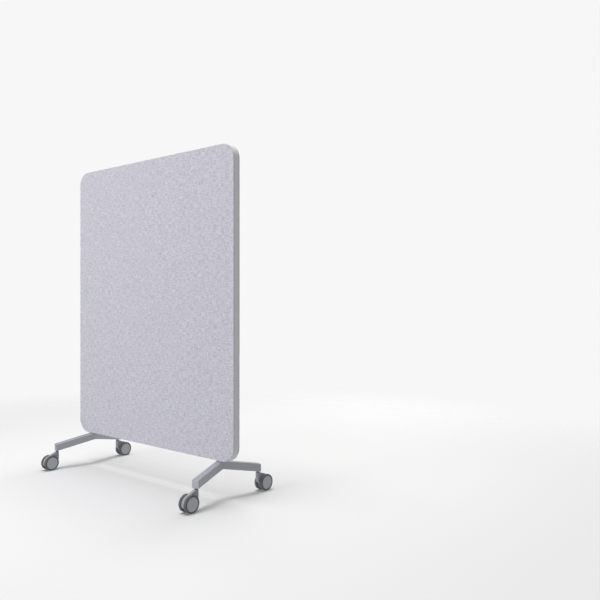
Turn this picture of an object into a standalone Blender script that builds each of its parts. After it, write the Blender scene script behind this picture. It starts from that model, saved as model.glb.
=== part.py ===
"""Wheeled partition wall: a fabric-covered acoustic panel with a writing board on its back, standing on two
splayed feet with four twin-wheel casters.

Metres, +Z up. The origin is on the floor under the middle of the panel. +X runs along the panel, -Y points
out of the all-fabric face and +Y out of the face with the writing board.
"""

import math

import bmesh
import bpy
from mathutils import Matrix, Vector

# Clearance left between pieces that touch, and between pieces that run in each other
GAP = 0.0003

# Panel outline
PANEL_WIDTH = 1.200
PANEL_HEIGHT = 1.400
PANEL_THICK = 0.037
CORNER_RADIUS = 0.070

# Layers of the panel from front to back; the inner frame takes the depth that they leave
FRONT_PAD_THICK = 0.004
FRONT_BOARD_THICK = 0.006
REAR_BOARD_THICK = 0.006
BACKING_THICK = 0.0007
WRITING_BOARD_THICK = 0.004
EDGE_BAND_THICK = 0.002

# Back face: the writing board above, the fabric pad below, with a narrow joint between them
BOARD_LINE = 0.467  # middle of that joint above the panel's underside
BOARD_JOINT = 0.001
BACKING_MARGIN = 0.010  # how far the steel backing stops inside the writing board's edge

# Inner frame
END_RAIL_MARGIN = 0.012  # how far the top and bottom rails reach past the rounded corners
STILE_WIDTH = 0.060
MID_RAIL_HEIGHT = 0.060

# Feet: each is two arms that meet under the panel and run down and outboard to the casters
FOOT_INSET = 0.102  # from the panel's end to the arms' meeting line
ARM_REACH = 0.193  # from the panel's middle plane to the end of an arm
ARM_SPLAY = 0.053  # how far that end stands outboard of the meeting line
ARM_DROP = 0.0397  # how far an arm's top falls along its length
ARM_WIDTH = 0.034
ARM_DEPTH = 0.036  # measured upright
ARM_WALL = 0.0025
ARM_EDGE_RADIUS = 0.003
CAP_THICK = 0.0022
SADDLE_REACH = 0.014  # half the depth of the flat saddle on top of the meeting line
SADDLE_CLEAR = 0.0004  # how far that saddle stands above the highest point of the arms' ridge
BUSH_WALL = 0.0015
BUSH_END_CLEAR = 0.0002  # from a bush to the end of its tube
BUSH_DROP = 0.0015  # how far a bush reaches below the lowest edge of its arm
BUSH_HEADROOM = 0.005  # from a bush's top to the outside of the arm above it

# Fixing of a foot to the panel
MOUNT_PLATE_THICK = 0.005
MOUNT_PLATE_INBOARD = 0.090  # from the arms' meeting line to the plate's inboard end
MOUNT_PLATE_OUTBOARD = 0.020
BOLT_RADIUS = 0.003
BOLT_HEAD_RADIUS = 0.005
BOLT_HEAD_HEIGHT = 0.006
BOLT_HEAD_CLEAR = 0.0005  # from a bolt's head to the inside of the arm's side wall
BOLT_KEY_WIDTH = 0.005  # across the flats of its hexagon socket
BOLT_KEY_DEPTH = 0.003
SCREW_RADIUS = 0.00175
SCREW_HEAD_RADIUS = 0.0035
SCREW_HEAD_RIM = 0.0005  # height of the head's straight rim
SCREW_TIP_RADIUS = 0.0006
SCREW_LENGTH = 0.028
SCREW_POINT = 0.005
SCREW_PLACES = (0.035, 0.073)  # inboard of the arms' meeting line

# Casters
WHEEL_RADIUS = 0.0375
WHEEL_SPACE = 0.018  # between the two tyres of a caster
TYRE_WIDTH = 0.0145
TYRE_SHOULDER = 0.002  # rounding of a tyre's outer edge
HUB_RADIUS = 0.030
HUB_RECESS = 0.0004  # of the hub's rim behind the tyre's side
HUB_CROWN = 0.0006  # rise of the hub's face at its middle
HUB_SKIN = 0.003  # left between the end of the axle's hole and the hub's face
HUB_BOSS_RADIUS = 0.009
TRAIL = 0.0405  # of the axle behind the stem
STEM_RADIUS = 0.004
STEM_COLLAR_RIM = 0.003  # how far the collar stands out from the stem
STEM_COLLAR_HEIGHT = 0.002
STEM_BELOW = 0.036  # from the top of the housing to the lower end of the stem
AXLE_RADIUS = 0.004
HOUSING_CLEAR = 0.0006  # between the housing and the tyre on each side of it
HOUSING_NECK_FRONT = 0.009  # from the stem to the brow where the housing slopes away
HOUSING_BACK_WALL = 0.0012  # between the stem's bore and the flat back of the housing
HOUSING_BELLY = 0.0125  # of the housing's underside below the axle
HOOD_RECESS = 0.0025  # of the hood below the tread
HOOD_END_ANGLE = math.radians(-18)  # where the hood stops, from straight outward
OVER_WHEEL = 0.018  # from the wheels to the lowest edge of the arm

# Facets
CORNER_STEPS = 8
EDGE_STEPS = 2
HOOD_STEPS = 9
SHOULDER_STEPS = 3
ROUND = 16
SCREW_FACETS = 12
WHEEL_FACETS = 28

# What runs or sits on the stem, and what the arm leaves room for
STEM_BORE = STEM_RADIUS + GAP
STEM_COLLAR_RADIUS = STEM_RADIUS + STEM_COLLAR_RIM
BUSH_RADIUS = STEM_BORE + BUSH_WALL
HOUSING_NECK_BACK = STEM_BORE + HOUSING_BACK_WALL
HOUSING_WIDTH = WHEEL_SPACE - 2 * HOUSING_CLEAR
STEM_INSET = CAP_THICK + GAP + BUSH_END_CLEAR + BUSH_RADIUS  # from the end of the arm
BOLT_OFFSET = ARM_WIDTH / 2 - ARM_WALL - BOLT_HEAD_CLEAR - BOLT_HEAD_RADIUS  # of each bolt from the apex

# Arms in plan, for the +X foot: their length, their slope, and the place of the back arm's stem
ARM_LENGTH = math.hypot(ARM_SPLAY, ARM_REACH)
ARM_SLOPE = ARM_DROP / ARM_LENGTH
ARM_TURN = ARM_SPLAY / ARM_REACH  # tangent of an arm's angle to the panel's normal
APEX_X = PANEL_WIDTH / 2 - FOOT_INSET
STEM_ALONG = ARM_LENGTH - STEM_INSET
STEM_X = APEX_X + ARM_SPLAY * STEM_ALONG / ARM_LENGTH
STEM_Y = ARM_REACH * STEM_ALONG / ARM_LENGTH

# Levels that follow from the sizes above
ARM_END_LOW = 2 * WHEEL_RADIUS + OVER_WHEEL
ARM_RIDGE = ARM_END_LOW + ARM_DEPTH + ARM_DROP
SADDLE_TOP = ARM_RIDGE + ARM_SLOPE * ARM_TURN * ARM_WIDTH / 2 + SADDLE_CLEAR
PANEL_LOW = SADDLE_TOP + GAP
PANEL_HIGH = PANEL_LOW + PANEL_HEIGHT
BUSH_LOW = ARM_END_LOW - BUSH_DROP
HOUSING_TOP = BUSH_LOW - STEM_COLLAR_HEIGHT - 2 * GAP
HOUSING_BORE_LOW = HOUSING_TOP - STEM_BELOW - GAP
BAND_INSET = EDGE_BAND_THICK + GAP  # of what lies inside the edge band
PLATE_LOW = PANEL_LOW + BAND_INSET
PLATE_HIGH = PLATE_LOW + MOUNT_PLATE_THICK
END_RAIL_HEIGHT = CORNER_RADIUS + END_RAIL_MARGIN

# The panel's layers, each as its front and back Y
FRONT_PAD = (-PANEL_THICK / 2, -PANEL_THICK / 2 + FRONT_PAD_THICK)
FRONT_BOARD = (FRONT_PAD[1] + GAP, FRONT_PAD[1] + GAP + FRONT_BOARD_THICK)
WRITING_BOARD = (PANEL_THICK / 2 - WRITING_BOARD_THICK, PANEL_THICK / 2)
BACKING = (WRITING_BOARD[0] - GAP - BACKING_THICK, WRITING_BOARD[0] - GAP)
REAR_BOARD = (BACKING[0] - GAP - REAR_BOARD_THICK, BACKING[0] - GAP)
REAR_PAD = (REAR_BOARD[1] + GAP, PANEL_THICK / 2)
FRAME = (FRONT_BOARD[1] + GAP, REAR_BOARD[0] - GAP)
EDGE_BAND = (FRONT_BOARD[0], REAR_BOARD[1])

# Finishes: sRGB colour, roughness, metallic
FINISHES = {
    "melange_fabric": ("c3c2ca", 0.92, 0.0),
    "recycled_felt": ("8f9092", 0.95, 0.0),
    "fibreboard": ("a98f6d", 0.80, 0.0),
    "spruce": ("d2b48a", 0.75, 0.0),
    "grey_edging": ("9b9ba0", 0.55, 0.0),
    "zinced_steel": ("a9acb0", 0.38, 1.0),
    "cream_board": ("ece5dc", 0.30, 0.0),
    "silver_paint": ("b4b7bd", 0.42, 0.3),
    "dark_steel": ("4a4c50", 0.40, 1.0),
    "housing_grey": ("b0b2b7", 0.45, 0.2),
    "hub_grey": ("868a8e", 0.50, 0.0),
    "tyre_grey": ("4e5154", 0.70, 0.0),
}


def clear_scene():
    for obj in list(bpy.data.objects):
        bpy.data.objects.remove(obj, do_unlink=True)


def linear(code):
    """The linear colour of an sRGB hex code."""
    levels = [int(code[i : i + 2], 16) / 255 for i in (0, 2, 4)]
    return [c / 12.92 if c <= 0.04045 else ((c + 0.055) / 1.055) ** 2.4 for c in levels]


def finish_for(node, finish):
    colour, roughness, metallic = FINISHES[finish]
    material = bpy.data.materials.new(f"{node}_{finish}")
    material.use_nodes = True
    shader = material.node_tree.nodes["Principled BSDF"]
    shader.inputs["Base Color"].default_value = (*linear(colour), 1.0)
    shader.inputs["Roughness"].default_value = roughness
    shader.inputs["Metallic"].default_value = metallic
    material.diffuse_color = (*linear(colour), 1.0)
    return material


def add_piece(name, mesh, finish, parent=None):
    piece = bpy.data.objects.new(name, mesh.copy())
    piece.data.materials.append(finish_for(name, finish))
    piece.parent = parent
    bpy.context.scene.collection.objects.link(piece)
    return piece


def add_axis(name, place, turn=0.0, parent=None):
    """An empty that stands on a joint's axis."""
    axis = bpy.data.objects.new(name, None)
    axis.location = place
    axis.rotation_euler = (0, 0, turn)
    axis.empty_display_size = 0.02
    axis.parent = parent
    bpy.context.scene.collection.objects.link(axis)
    return axis


# Shapes


def loft(rows, closed=False):
    """A mesh through rows of equally many points: each row is a loop, and faces join neighbouring rows. A
    closed loft joins its last row to its first; another has its two end loops filled."""
    shape = bmesh.new()
    loops = [[shape.verts.new(point) for point in row] for row in rows]
    count = len(loops[0])
    pairs = list(zip(loops, loops[1:]))
    if closed:
        pairs.append((loops[-1], loops[0]))
    else:
        shape.faces.new(loops[0])
        shape.faces.new(loops[-1])
    for near, far in pairs:
        for i in range(count):
            j = (i + 1) % count
            shape.faces.new((near[i], near[j], far[j], far[i]))
    bmesh.ops.remove_doubles(shape, verts=shape.verts, dist=1e-6)
    bmesh.ops.recalc_face_normals(shape, faces=shape.faces)
    mesh = bpy.data.meshes.new("shape")
    shape.to_mesh(mesh)
    shape.free()
    mesh.shade_smooth()
    mesh.set_sharp_from_angle(angle=math.radians(35))
    return mesh


def slab(outline, layer):
    """An outline of (x, z) points carried from a layer's front Y to its back Y."""
    return loft([[(x, y, z) for x, z in outline] for y in layer])


def frame_slab(outer, inner, layer):
    """As slab, with the inner outline left open."""
    front, back = layer
    rows = ((outer, front), (outer, back), (inner, back), (inner, front))
    return loft([[(x, y, z) for x, z in outline] for outline, y in rows], closed=True)


def turned(profile, steps, closed=False):
    """A profile of (radius, height) turned about Z, with flats across the X and Y axes. A radius is a number,
    or a number and "hex" for a hexagon that far across its flats."""
    rows = []
    for radius, height in profile:
        row = []
        for i in range(steps):
            angle = 2 * math.pi * (i + 0.5) / steps
            if isinstance(radius, tuple):
                reach = radius[0] / 2 / math.cos((angle + math.pi / 6) % (math.pi / 3) - math.pi / 6)
            else:
                reach = radius
            row.append((reach * math.cos(angle), reach * math.sin(angle), height))
        rows.append(row)
    return loft(rows, closed)


def moved(mesh, place):
    mesh.transform(Matrix.Translation(place))
    return mesh


def along_x(mesh):
    """Lays a shape turned about Z over, so that it is turned about X."""
    mesh.transform(Matrix.Rotation(math.radians(90), 4, "Y"))
    return mesh


def combined(base, tools, operation):
    """The mesh that a Boolean of the base with each tool in turn leaves."""
    helpers = [bpy.data.objects.new("boolean_helper", mesh) for mesh in (base, *tools)]
    for helper in helpers:
        helper.hide_render = True
        helper.display_type = "WIRE"
        bpy.context.scene.collection.objects.link(helper)
    for helper in helpers[1:]:
        boolean = helpers[0].modifiers.new("boolean", "BOOLEAN")
        boolean.operation = operation
        boolean.solver = "EXACT"
        boolean.object = helper
    evaluated = helpers[0].evaluated_get(bpy.context.evaluated_depsgraph_get())
    mesh = bpy.data.meshes.new_from_object(evaluated)
    for helper in helpers:
        bpy.data.objects.remove(helper)
    return mesh


def pin_hole(radius, low, high, place, steps=ROUND):
    """A cutter for an upright hole."""
    return moved(turned([(radius, low), (radius, high)], steps), (*place, 0))


def rounded_outline(left, right, low, high, low_radius=0.0, high_radius=0.0, steps=CORNER_STEPS):
    """An outline of (x, z) points, counter-clockwise from the lower left corner."""
    corners = (
        (left, low, low_radius, 180),
        (right, low, low_radius, 270),
        (right, high, high_radius, 0),
        (left, high, high_radius, 90),
    )
    points = []
    for x, z, radius, start in corners:
        if radius == 0:
            points.append((x, z))
            continue
        middle_x = x + radius if x == left else x - radius
        middle_z = z + radius if z == low else z - radius
        for i in range(steps + 1):
            angle = math.radians(start + 90 * i / steps)
            points.append((middle_x + radius * math.cos(angle), middle_z + radius * math.sin(angle)))
    return points


def panel_outline(inset):
    """The panel's outline, moved inwards."""
    radius = CORNER_RADIUS - inset
    half = PANEL_WIDTH / 2 - inset
    return rounded_outline(-half, half, PANEL_LOW + inset, PANEL_HIGH - inset, radius, radius)


# Panel


def mount_plate_span(side):
    """The two ends in X of the mount plate of the foot on one side, in rising order."""
    return sorted((side * (APEX_X - MOUNT_PLATE_INBOARD), side * (APEX_X + MOUNT_PLATE_OUTBOARD)))


def bolt_places(side):
    return [(side * APEX_X + offset, 0.0) for offset in (-BOLT_OFFSET, BOLT_OFFSET)]


def screw_places(side):
    middle = (FRAME[0] + FRAME[1]) / 2
    return [(side * (APEX_X - inboard), middle) for inboard in SCREW_PLACES]


def bottom_rail_mesh():
    """The lower rail: rounded at its lower corners, notched for the mount plates, bored for their screws."""
    half = PANEL_WIDTH / 2 - BAND_INSET
    low = PANEL_LOW + BAND_INSET
    outline = rounded_outline(-half, half, low, low + END_RAIL_HEIGHT, CORNER_RADIUS - BAND_INSET)
    notches = []
    for side in (-1, 1):
        left, right = mount_plate_span(side)
        roof = PLATE_HIGH + GAP
        notches += [(left - GAP, low), (left - GAP, roof), (right + GAP, roof), (right + GAP, low)]
    corner = CORNER_STEPS + 1
    rail = slab(outline[:corner] + notches + outline[corner:], FRAME)
    tip = PLATE_LOW + SCREW_LENGTH + GAP
    places = screw_places(-1) + screw_places(1)
    holes = [pin_hole(SCREW_RADIUS + GAP, PLATE_LOW, tip, place, SCREW_FACETS) for place in places]
    return combined(rail, holes, "DIFFERENCE")


def mount_plate_mesh(side):
    """A steel strip with two bolt holes and two countersunk screw holes."""
    left, right = mount_plate_span(side)
    plate = slab(rounded_outline(left, right, PLATE_LOW, PLATE_HIGH), (FRAME[0] + GAP, FRAME[1] - GAP))
    tools = [
        pin_hole(BOLT_RADIUS + GAP, PLATE_LOW - GAP, PLATE_HIGH + GAP, place) for place in bolt_places(side)
    ]
    for x, y in screw_places(side):
        tools.append(moved(turned(screw_profile(GAP), SCREW_FACETS), (x, y, PLATE_LOW)))
    return combined(plate, tools, "DIFFERENCE")


def screw_profile(room=0.0):
    """A countersunk wood screw from its head's face up to its point, or its hole with this much room."""
    cone = SCREW_HEAD_RADIUS - SCREW_RADIUS
    return [
        (SCREW_HEAD_RADIUS + room, -room),
        (SCREW_HEAD_RADIUS + room, SCREW_HEAD_RIM),
        (SCREW_RADIUS + room, SCREW_HEAD_RIM + cone),
        (SCREW_RADIUS + room, SCREW_LENGTH - SCREW_POINT),
        (SCREW_TIP_RADIUS + room, SCREW_LENGTH),
    ]


def build_panel():
    """The panel's layers from front to back, its edge band, and the plates that the feet bolt to."""
    full = panel_outline(0)
    core = panel_outline(BAND_INSET)
    half = PANEL_WIDTH / 2
    inner_half = half - BAND_INSET
    low, high = PANEL_LOW + BAND_INSET, PANEL_HIGH - BAND_INSET
    radius = CORNER_RADIUS - BAND_INSET

    add_piece("front_fabric_pad", slab(full, FRONT_PAD), "melange_fabric")
    add_piece("front_board", slab(core, FRONT_BOARD), "fibreboard")
    add_piece("rear_board", slab(core, REAR_BOARD), "fibreboard")

    # The inner frame: two end rails across the full width, stiles and a middle rail between them
    add_piece("bottom_rail", bottom_rail_mesh(), "spruce")
    top = rounded_outline(-inner_half, inner_half, high - END_RAIL_HEIGHT, high, 0, radius)
    add_piece("top_rail", slab(top, FRAME), "spruce")
    bay_low, bay_high = low + END_RAIL_HEIGHT + GAP, high - END_RAIL_HEIGHT - GAP
    for name, left in (("left_stile", -inner_half), ("right_stile", inner_half - STILE_WIDTH)):
        stile = rounded_outline(left, left + STILE_WIDTH, bay_low, bay_high)
        add_piece(name, slab(stile, FRAME), "spruce")
    bay_half = inner_half - STILE_WIDTH - GAP
    mid_low = PANEL_LOW + BOARD_LINE - MID_RAIL_HEIGHT / 2
    mid_high = mid_low + MID_RAIL_HEIGHT
    add_piece("mid_rail", slab(rounded_outline(-bay_half, bay_half, mid_low, mid_high), FRAME), "spruce")
    bays = (("absorber_lower", bay_low, mid_low - GAP), ("absorber_upper", mid_high + GAP, bay_high))
    for name, bay_floor, bay_roof in bays:
        infill = rounded_outline(-bay_half, bay_half, bay_floor, bay_roof)
        add_piece(name, slab(infill, FRAME), "recycled_felt")

    # The back face
    board_low = PANEL_LOW + BOARD_LINE + BOARD_JOINT / 2
    board = rounded_outline(-half, half, board_low, PANEL_HIGH, 0, CORNER_RADIUS)
    add_piece("writing_board", slab(board, WRITING_BOARD), "cream_board")
    margin = BACKING_MARGIN
    backing = rounded_outline(
        -half + margin, half - margin, board_low + margin, PANEL_HIGH - margin, 0, CORNER_RADIUS - margin
    )
    add_piece("board_backing", slab(backing, BACKING), "zinced_steel")
    pad = rounded_outline(-half, half, PANEL_LOW, board_low - BOARD_JOINT, CORNER_RADIUS, 0)
    add_piece("rear_fabric_pad", slab(pad, REAR_PAD), "melange_fabric")

    # The edge band, with the holes that the foot bolts pass through
    band = frame_slab(full, panel_outline(EDGE_BAND_THICK), EDGE_BAND)
    hole_span = (PANEL_LOW - GAP, PANEL_LOW + BAND_INSET)
    places = bolt_places(-1) + bolt_places(1)
    holes = [pin_hole(BOLT_RADIUS + GAP, *hole_span, place) for place in places]
    add_piece("edge_band", combined(band, holes, "DIFFERENCE"), "grey_edging")

    for side, word in ((-1, "left"), (1, "right")):
        add_piece(f"mount_plate_{word}", mount_plate_mesh(side), "zinced_steel")
        for number, (x, y) in enumerate(screw_places(side), 1):
            screw = moved(turned(screw_profile(), SCREW_FACETS), (x, y, PLATE_LOW))
            add_piece(f"mount_screw_{word}_{number}", screw, "zinced_steel")


# Feet


def arm_section(side, end, along, half_width, low, high, radius=ARM_EDGE_RADIUS):
    """An upright section of an arm, as a loop of points: end is -1 for the front arm and 1 for the back arm,
    along is the distance in plan from the meeting point. Section 0 is the mitre, in the plane where both arms
    meet: it is wider, and it falls outboard with the arms' faces."""
    cos, sin = ARM_REACH / ARM_LENGTH, ARM_SPLAY / ARM_LENGTH
    middle = Vector((APEX_X + sin * along, end * cos * along, 0))
    across = Vector((cos, -end * sin, 0))
    if along == 0:
        across = Vector((1 / cos, 0, -ARM_SLOPE * ARM_TURN))
    loop = []
    for u, z in rounded_outline(-half_width, half_width, low, high, radius, radius, EDGE_STEPS):
        x, y, fall = middle + across * u
        loop.append((side * x, y, z + fall))
    return loop


def arm_levels(along, inset=0.0):
    """The bottom and the top of an arm at a distance from the meeting point, moved inwards."""
    top = ARM_RIDGE - ARM_SLOPE * along
    return top - ARM_DEPTH + inset, top - inset


def foot_mesh(side):
    """Two mitred tubes open at their ends, a solid block with a flat saddle where they meet, and a bush for
    each caster stem, all welded into one piece."""
    tube_end = ARM_LENGTH - CAP_THICK - GAP
    stations = ((-1, tube_end), (1, 0.0), (1, tube_end))
    half = ARM_WIDTH / 2
    outer = [arm_section(side, end, along, half, *arm_levels(along)) for end, along in stations]
    inner = [
        arm_section(side, end, along, half - ARM_WALL, *arm_levels(along, ARM_WALL), ARM_EDGE_RADIUS / 2)
        for end, along in reversed(stations)
    ]
    tube = loft(outer + inner, closed=True)

    # The block follows the arms in plan, inside their side walls, from their lower wall up to the saddle
    block_half = half - ARM_WALL / 2
    saddle_out = SADDLE_REACH * ARM_TURN
    corners = [(saddle_out, -SADDLE_REACH), (0, 0), (saddle_out, SADDLE_REACH)]
    plan = [(x + block_half, y) for x, y in corners] + [(x - block_half, y) for x, y in reversed(corners)]
    block_low = arm_levels(0, ARM_WALL / 2)[0]
    block = loft([[(side * (APEX_X + x), y, z) for x, y in plan] for z in (block_low, SADDLE_TOP)])
    bush_top = arm_levels(STEM_ALONG)[1] - BUSH_HEADROOM
    stems = [(side * STEM_X, end * STEM_Y) for end in (-1, 1)]
    bushes = [pin_hole(BUSH_RADIUS, BUSH_LOW, bush_top, place) for place in stems]
    body = combined(tube, [block, *bushes], "UNION")

    ridge_low = arm_levels(0)[0]
    seat = ridge_low + BOLT_HEAD_HEIGHT + GAP
    cutters = [pin_hole(STEM_BORE, BUSH_LOW - GAP, bush_top - ARM_WALL, place) for place in stems]
    for place in bolt_places(side):
        cutters.append(pin_hole(BOLT_RADIUS + GAP, ridge_low - ARM_WALL, PANEL_LOW, place))
        cutters.append(pin_hole(BOLT_HEAD_RADIUS + GAP, ridge_low - ARM_WALL, seat, place))
    return combined(body, cutters, "DIFFERENCE")


def arm_cap_mesh(side, end):
    """The plate that closes an arm's end."""
    stations = (ARM_LENGTH - CAP_THICK, ARM_LENGTH)
    return loft([arm_section(side, end, along, ARM_WIDTH / 2, *arm_levels(along)) for along in stations])


def foot_bolt_mesh():
    """A bolt with a round head and a hexagon socket, from its head's face up to its tip, level with the
    plate's top."""
    head_low = arm_levels(0)[0]
    head_high = head_low + BOLT_HEAD_HEIGHT
    key = (BOLT_KEY_WIDTH, "hex")
    return turned(
        [
            (0, head_low + BOLT_KEY_DEPTH),
            (key, head_low + BOLT_KEY_DEPTH),
            (key, head_low),
            (BOLT_HEAD_RADIUS, head_low),
            (BOLT_HEAD_RADIUS, head_high),
            (BOLT_RADIUS, head_high),
            (BOLT_RADIUS, PLATE_HIGH),
            (0, PLATE_HIGH),
        ],
        ROUND,
    )


def build_feet():
    for side, side_word in ((-1, "left"), (1, "right")):
        add_piece(f"foot_{side_word}", foot_mesh(side), "silver_paint")
        for end, end_word in ((-1, "front"), (1, "rear")):
            add_piece(f"arm_cap_{end_word}_{side_word}", arm_cap_mesh(side, end), "silver_paint")
        for number, place in enumerate(bolt_places(side), 1):
            bolt = moved(foot_bolt_mesh(), (*place, 0))
            add_piece(f"foot_bolt_{side_word}_{number}", bolt, "zinced_steel")


# Casters, each modelled about its stem with its wheels towards +Y


def stem_mesh():
    """The stem with its collar, from the top of the foot's bush down into the housing."""
    bore_roof = arm_levels(STEM_ALONG)[1] - BUSH_HEADROOM - ARM_WALL
    collar_top = BUSH_LOW - GAP
    return turned(
        [
            (0, HOUSING_TOP - STEM_BELOW),
            (STEM_RADIUS, HOUSING_TOP - STEM_BELOW),
            (STEM_RADIUS, collar_top - STEM_COLLAR_HEIGHT),
            (STEM_COLLAR_RADIUS, collar_top - STEM_COLLAR_HEIGHT),
            (STEM_COLLAR_RADIUS, collar_top),
            (STEM_RADIUS, collar_top),
            (STEM_RADIUS, bore_roof - GAP),
            (0, bore_roof - GAP),
        ],
        ROUND,
    )


def housing_outline():
    """The housing's side view as (y, z) points: a neck under the stem, a ridge from it that runs tangent into
    the hood's arc over the wheels, and a low belly round the axle."""
    radius = WHEEL_RADIUS - HOOD_RECESS
    centre = Vector((TRAIL, WHEEL_RADIUS))
    brow = Vector((HOUSING_NECK_FRONT, HOUSING_TOP))
    to_brow = brow - centre
    touch = math.atan2(to_brow.y, to_brow.x) - math.acos(radius / to_brow.length)
    points = [(-HOUSING_NECK_BACK, HOUSING_TOP), (-HOUSING_NECK_BACK, HOUSING_BORE_LOW - HUB_SKIN)]
    belly = WHEEL_RADIUS - HOUSING_BELLY
    points.append((TRAIL - radius / 2, belly))
    for i in range(HOOD_STEPS + 1):
        angle = HOOD_END_ANGLE + (touch - HOOD_END_ANGLE) * i / HOOD_STEPS
        y, z = centre + radius * Vector((math.cos(angle), math.sin(angle)))
        if i == 0:
            points.append((y - HOOD_RECESS, belly))
        points.append((y, z))
    points.append(tuple(brow))
    return points


def housing_mesh():
    half = HOUSING_WIDTH / 2
    web = loft([[(x, y, z) for y, z in housing_outline()] for x in (-half, half)])
    bore = pin_hole(STEM_BORE, HOUSING_BORE_LOW, HOUSING_TOP + GAP, (0, 0))
    hole = along_x(turned([(AXLE_RADIUS + GAP, -HOUSING_WIDTH), (AXLE_RADIUS + GAP, HOUSING_WIDTH)], ROUND))
    return combined(web, [bore, moved(hole, (0, TRAIL, WHEEL_RADIUS))], "DIFFERENCE")


def tyre_mesh(side):
    """A tyre about the axle. Its flats touch the circle of the wheel's radius, and one lies on the floor."""
    flats = 1 / math.cos(math.pi / WHEEL_FACETS)
    inner, outer = HUB_RADIUS + GAP, WHEEL_RADIUS * flats
    near, far = WHEEL_SPACE / 2, WHEEL_SPACE / 2 + TYRE_WIDTH
    profile = [(inner, near), (outer - TYRE_SHOULDER / 2, near), (outer, near + TYRE_SHOULDER / 2)]
    for i in range(SHOULDER_STEPS + 1):
        angle = math.pi / 2 * i / SHOULDER_STEPS
        radius = outer - TYRE_SHOULDER + TYRE_SHOULDER * math.cos(angle)
        profile.append((radius, far - TYRE_SHOULDER + TYRE_SHOULDER * math.sin(angle)))
    profile.append((inner, far))
    return wheel_part(profile, side, closed=True)


def hub_mesh(side):
    """A hub about the axle, with a blind hole for it and a slightly crowned face."""
    near = HOUSING_WIDTH / 2 + GAP
    rim = WHEEL_SPACE / 2 + TYRE_WIDTH - HUB_RECESS
    hole_end = rim - HUB_SKIN
    return wheel_part(
        [
            (0, hole_end),
            (AXLE_RADIUS + GAP, hole_end),
            (AXLE_RADIUS + GAP, near),
            (HUB_BOSS_RADIUS, near),
            (HUB_BOSS_RADIUS, WHEEL_SPACE / 2 + GAP),
            (HUB_RADIUS, WHEEL_SPACE / 2 + GAP),
            (HUB_RADIUS, rim),
            (0, rim + HUB_CROWN),
        ],
        side,
    )


def wheel_part(profile, side, closed=False):
    """A profile of (radius, distance from the caster's middle) turned about X, with a flat on the floor."""
    mesh = along_x(turned(profile, WHEEL_FACETS, closed))
    if side < 0:
        mesh.transform(Matrix.Rotation(math.pi, 4, "Z"))
    return mesh


def axle_mesh():
    end = WHEEL_SPACE / 2 + TYRE_WIDTH - HUB_RECESS - HUB_SKIN - GAP
    return along_x(turned([(AXLE_RADIUS, -end), (AXLE_RADIUS, end)], ROUND))


def build_casters():
    stem, housing, axle = stem_mesh(), housing_mesh(), axle_mesh()
    wheels = [(side, hub_mesh(side), tyre_mesh(side)) for side in (-1, 1)]
    for side, side_word in ((-1, "left"), (1, "right")):
        for end, end_word in ((-1, "front"), (1, "rear")):
            name = f"{end_word}_{side_word}"
            # The wheels trail outwards, so the front casters are turned round
            turn = 0.0 if end > 0 else math.pi
            place = (side * STEM_X, end * STEM_Y, 0)
            swivel = add_axis(f"swivel_axis_{name}", place, turn)
            add_piece(f"stem_{name}", stem, "dark_steel", swivel)
            add_piece(f"housing_{name}", housing, "housing_grey", swivel)
            wheel_axis = add_axis(f"wheel_axis_{name}", (0, TRAIL, WHEEL_RADIUS), parent=swivel)
            add_piece(f"axle_{name}", axle, "zinced_steel", wheel_axis)
            for hand, hub, tyre in wheels:
                # Hands are told as seen in the world, so they change over on a caster that is turned round
                hand_word = "l" if hand * end < 0 else "r"
                add_piece(f"hub_{name}_{hand_word}", hub, "hub_grey", wheel_axis)
                add_piece(f"tyre_{name}_{hand_word}", tyre, "tyre_grey", wheel_axis)


clear_scene()
build_panel()
build_feet()
build_casters()
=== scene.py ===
import math

import bmesh
import bpy
import numpy as np
from mathutils import Matrix, Vector


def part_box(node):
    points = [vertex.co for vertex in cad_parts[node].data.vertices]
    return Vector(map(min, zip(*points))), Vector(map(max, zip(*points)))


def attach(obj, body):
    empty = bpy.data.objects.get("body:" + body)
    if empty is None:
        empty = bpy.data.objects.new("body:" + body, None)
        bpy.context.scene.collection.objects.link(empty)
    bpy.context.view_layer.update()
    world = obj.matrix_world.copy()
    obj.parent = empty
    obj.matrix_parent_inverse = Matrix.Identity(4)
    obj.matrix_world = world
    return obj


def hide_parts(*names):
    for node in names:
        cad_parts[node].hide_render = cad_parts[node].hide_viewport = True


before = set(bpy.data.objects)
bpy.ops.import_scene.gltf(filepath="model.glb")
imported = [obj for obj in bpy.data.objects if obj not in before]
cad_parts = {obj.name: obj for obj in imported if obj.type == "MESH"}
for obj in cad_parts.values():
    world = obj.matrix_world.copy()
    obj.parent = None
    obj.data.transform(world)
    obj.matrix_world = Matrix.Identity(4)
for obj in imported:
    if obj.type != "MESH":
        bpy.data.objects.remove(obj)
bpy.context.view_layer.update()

pastCut = 0.001  # m that a cutting tool stands out of what it cuts
print("frame loaded:", len(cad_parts), "nodes")


# Colours, nodes and finishes


def linearColour(code):
    # sRGB hex to linear: level / 12.92 near black, ((level + 0.055) / 1.055) to the power 2.4 above it
    levels = np.array([int(code[i:i + 2], 16) for i in (0, 2, 4)]) / 255
    linear = np.where(levels <= 0.04045, levels / 12.92, ((levels + 0.055) / 1.055) ** 2.4)
    return (*linear.tolist(), 1.0)


def addNode(tree, kind, values=None, links=None, **settings):
    # settings are the node's own options, values go on its sockets, links are outputs led into them
    node = tree.nodes.new(kind)
    for key, value in settings.items():
        setattr(node, key, value)
    for key, value in (values or {}).items():
        node.inputs[key].default_value = value
    for key, output in (links or {}).items():
        tree.links.new(output, node.inputs[key])
    return node


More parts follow.
